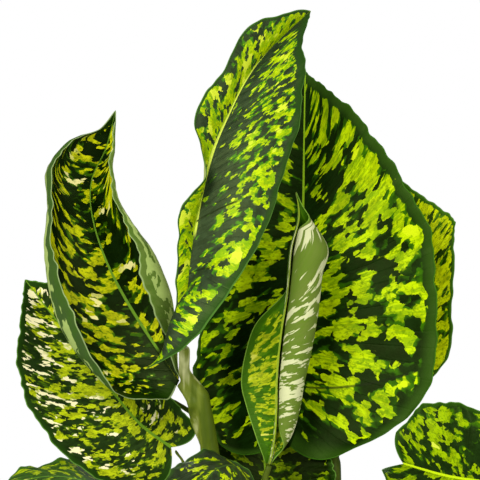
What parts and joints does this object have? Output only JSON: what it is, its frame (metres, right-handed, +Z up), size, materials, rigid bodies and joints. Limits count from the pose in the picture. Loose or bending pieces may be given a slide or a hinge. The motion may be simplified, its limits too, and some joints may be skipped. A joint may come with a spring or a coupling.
{
  "type": "potted dieffenbachia",
  "caption": "Potted house plant with broad, pointed, blotched leaves on fleshy stalks and short canes, standing in a round tapered nursery pot.",
  "frame": {"origin": "centre of the pot's flat underside", "axes": "+Z up, -Y towards the plant's front, +X to the right seen from the front"},
  "size_m": [0.4643, 0.4094, 0.6004],
  "materials": {
    "blade": "glossy living leaf, dark green with lime blotches",
    "young_blade": "satin young leaf, pale olive underside with cream streaks",
    "stem": "smooth fleshy stalk, olive with cream stripes",
    "soil": "damp crumbly peat",
    "pot": "satin moulded plastic"
  },
  "bodies": {
    "root": {"leaf_tall_front": "blade", "leaf_cupped_left": "blade", "leaf_lower_left": "blade", "leaf_broad_right": "blade", "leaf_behind_right": "blade", "leaf_rolled": "young_blade", "leaf_bottom_right": "blade", "leaf_bottom_front": "blade", "leaf_bottom_left": "blade", "leaf_low_middle": "blade", "leaf_back_right": "blade", "leaf_back_left": "blade", "leaf_low_front_right": "blade", "leaf_low_back_right": "blade", "leaf_low_back_left": "blade", "leaf_low_front_left": "blade", "stem_left": "stem", "stem_middle": "stem", "stem_right": "stem", "soil": "soil", "pot": "pot"}
  },
  "joints": []
}
